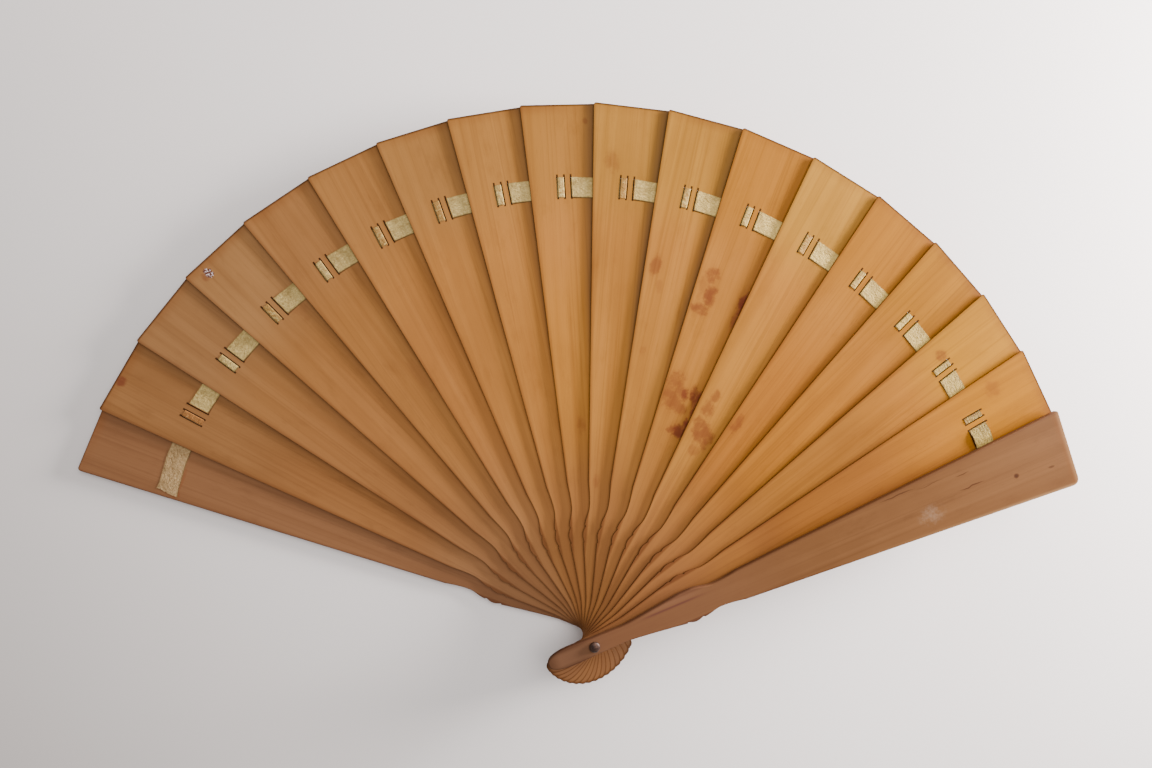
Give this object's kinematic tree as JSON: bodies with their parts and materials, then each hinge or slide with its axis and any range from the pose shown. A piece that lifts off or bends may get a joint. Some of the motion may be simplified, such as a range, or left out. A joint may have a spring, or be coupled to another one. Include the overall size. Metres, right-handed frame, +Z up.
{
  "type": "folding brise fan",
  "caption": "Hand-held brisé folding fan of tapering sandalwood blades on one rivet, strung on a narrow silk ribbon; it folds from a wide open spread to one stack.",
  "frame": {"origin": "on the rivet's axis, in the plane that the back guard's outer face rests on", "axes": "+X across the open spread towards the front guard, +Y along the middle of the open spread from the rivet to the tips, +Z up through the stack from the back guard to the front guard"},
  "size_m": [0.3845, 0.2225, 0.0232],
  "materials": {
    "stick_wood": "satin",
    "guard_wood": "satin",
    "silk_ribbon": "woven",
    "rivet_metal": "dark patina"
  },
  "bodies": {
    "back_guard": {"back_guard": "guard_wood", "rivet_pin": "rivet_metal", "rivet_cap": "rivet_metal", "ribbon_end_back": "silk_ribbon", "ribbon_span_00": "silk_ribbon"},
    "stick_01": {"stick_01": "stick_wood", "ribbon_weave_01": "silk_ribbon", "ribbon_span_01": "silk_ribbon"},
    "stick_02": {"stick_02": "stick_wood", "ribbon_weave_02": "silk_ribbon", "ribbon_span_02": "silk_ribbon"},
    "stick_03": {"stick_03": "stick_wood", "ribbon_weave_03": "silk_ribbon", "ribbon_span_03": "silk_ribbon"},
    "stick_04": {"stick_04": "stick_wood", "ribbon_weave_04": "silk_ribbon", "ribbon_span_04": "silk_ribbon"},
    "stick_05": {"stick_05": "stick_wood", "ribbon_weave_05": "silk_ribbon", "ribbon_span_05": "silk_ribbon"},
    "stick_06": {"stick_06": "stick_wood", "ribbon_weave_06": "silk_ribbon", "ribbon_span_06": "silk_ribbon"},
    "stick_07": {"stick_07": "stick_wood", "ribbon_weave_07": "silk_ribbon", "ribbon_span_07": "silk_ribbon"},
    "stick_08": {"stick_08": "stick_wood", "ribbon_weave_08": "silk_ribbon", "ribbon_span_08": "silk_ribbon"},
    "stick_09": {"stick_09": "stick_wood", "ribbon_weave_09": "silk_ribbon", "ribbon_span_09": "silk_ribbon"},
    "stick_10": {"stick_10": "stick_wood", "ribbon_weave_10": "silk_ribbon", "ribbon_span_10": "silk_ribbon"},
    "stick_11": {"stick_11": "stick_wood", "ribbon_weave_11": "silk_ribbon", "ribbon_span_11": "silk_ribbon"},
    "stick_12": {"stick_12": "stick_wood", "ribbon_weave_12": "silk_ribbon", "ribbon_span_12": "silk_ribbon"},
    "stick_13": {"stick_13": "stick_wood", "ribbon_weave_13": "silk_ribbon", "ribbon_span_13": "silk_ribbon"},
    "stick_14": {"stick_14": "stick_wood", "ribbon_weave_14": "silk_ribbon", "ribbon_span_14": "silk_ribbon"},
    "stick_15": {"stick_15": "stick_wood", "ribbon_weave_15": "silk_ribbon", "ribbon_span_15": "silk_ribbon"},
    "stick_16": {"stick_16": "stick_wood", "ribbon_weave_16": "silk_ribbon", "ribbon_span_16": "silk_ribbon"},
    "front_guard": {"front_guard": "guard_wood", "ribbon_end_front": "silk_ribbon"}
  },
  "joints": [
    {"name": "hinge_01", "type": "hinge", "parent": "back_guard", "child": "stick_01", "pos_m": [0, 0, 0.0027], "axis": [0, 0, 1], "range_deg": [0, 6.97]},
    {"name": "hinge_02", "type": "hinge", "parent": "stick_01", "child": "stick_02", "pos_m": [0, 0, 0.00375], "axis": [0, 0, 1], "range_deg": [0, 8.22]},
    {"name": "hinge_03", "type": "hinge", "parent": "stick_02", "child": "stick_03", "pos_m": [0, 0, 0.0048], "axis": [0, 0, 1], "range_deg": [0, 8.32]},
    {"name": "hinge_04", "type": "hinge", "parent": "stick_03", "child": "stick_04", "pos_m": [0, 0, 0.00585], "axis": [0, 0, 1], "range_deg": [0, 8.28]},
    {"name": "hinge_05", "type": "hinge", "parent": "stick_04", "child": "stick_05", "pos_m": [0, 0, 0.0069], "axis": [0, 0, 1], "range_deg": [0, 8.13]},
    {"name": "hinge_06", "type": "hinge", "parent": "stick_05", "child": "stick_06", "pos_m": [0, 0, 0.00795], "axis": [0, 0, 1], "range_deg": [0, 7.92]},
    {"name": "hinge_07", "type": "hinge", "parent": "stick_06", "child": "stick_07", "pos_m": [0, 0, 0.009], "axis": [0, 0, 1], "range_deg": [0, 7.76]},
    {"name": "hinge_08", "type": "hinge", "parent": "stick_07", "child": "stick_08", "pos_m": [0, 0, 0.01005], "axis": [0, 0, 1], "range_deg": [0, 7.71]},
    {"name": "hinge_09", "type": "hinge", "parent": "stick_08", "child": "stick_09", "pos_m": [0, 0, 0.0111], "axis": [0, 0, 1], "range_deg": [0, 7.8]},
    {"name": "hinge_10", "type": "hinge", "parent": "stick_09", "child": "stick_10", "pos_m": [0, 0, 0.01215], "axis": [0, 0, 1], "range_deg": [0, 7.99]},
    {"name": "hinge_11", "type": "hinge", "parent": "stick_10", "child": "stick_11", "pos_m": [0, 0, 0.0132], "axis": [0, 0, 1], "range_deg": [0, 8.19]},
    {"name": "hinge_12", "type": "hinge", "parent": "stick_11", "child": "stick_12", "pos_m": [0, 0, 0.01425], "axis": [0, 0, 1], "range_deg": [0, 8.31]},
    {"name": "hinge_13", "type": "hinge", "parent": "stick_12", "child": "stick_13", "pos_m": [0, 0, 0.0153], "axis": [0, 0, 1], "range_deg": [0, 8.3]},
    {"name": "hinge_14", "type": "hinge", "parent": "stick_13", "child": "stick_14", "pos_m": [0, 0, 0.01635], "axis": [0, 0, 1], "range_deg": [0, 8.16]},
    {"name": "hinge_15", "type": "hinge", "parent": "stick_14", "child": "stick_15", "pos_m": [0, 0, 0.0174], "axis": [0, 0, 1], "range_deg": [0, 7.96]},
    {"name": "hinge_16", "type": "hinge", "parent": "stick_15", "child": "stick_16", "pos_m": [0, 0, 0.01845], "axis": [0, 0, 1], "range_deg": [0, 7.78]},
    {"name": "hinge_17", "type": "hinge", "parent": "stick_16", "child": "front_guard", "pos_m": [0, 0, 0.0208], "axis": [0, 0, 1], "range_deg": [0, 7.71]}
  ],
  "couplings": [
    {"joint": "hinge_02", "follows": "hinge_01", "ratio": 1.1795},
    {"joint": "hinge_03", "follows": "hinge_01", "ratio": 1.1937},
    {"joint": "hinge_04", "follows": "hinge_01", "ratio": 1.1882},
    {"joint": "hinge_05", "follows": "hinge_01", "ratio": 1.1657},
    {"joint": "hinge_06", "follows": "hinge_01", "ratio": 1.136},
    {"joint": "hinge_07", "follows": "hinge_01", "ratio": 1.1127},
    {"joint": "hinge_08", "follows": "hinge_01", "ratio": 1.106},
    {"joint": "hinge_09", "follows": "hinge_01", "ratio": 1.1192},
    {"joint": "hinge_10", "follows": "hinge_01", "ratio": 1.146},
    {"joint": "hinge_11", "follows": "hinge_01", "ratio": 1.1747},
    {"joint": "hinge_12", "follows": "hinge_01", "ratio": 1.1922},
    {"joint": "hinge_13", "follows": "hinge_01", "ratio": 1.1909},
    {"joint": "hinge_14", "follows": "hinge_01", "ratio": 1.1711},
    {"joint": "hinge_15", "follows": "hinge_01", "ratio": 1.1419},
    {"joint": "hinge_16", "follows": "hinge_01", "ratio": 1.1163},
    {"joint": "hinge_17", "follows": "hinge_01", "ratio": 1.1057}
  ]
}
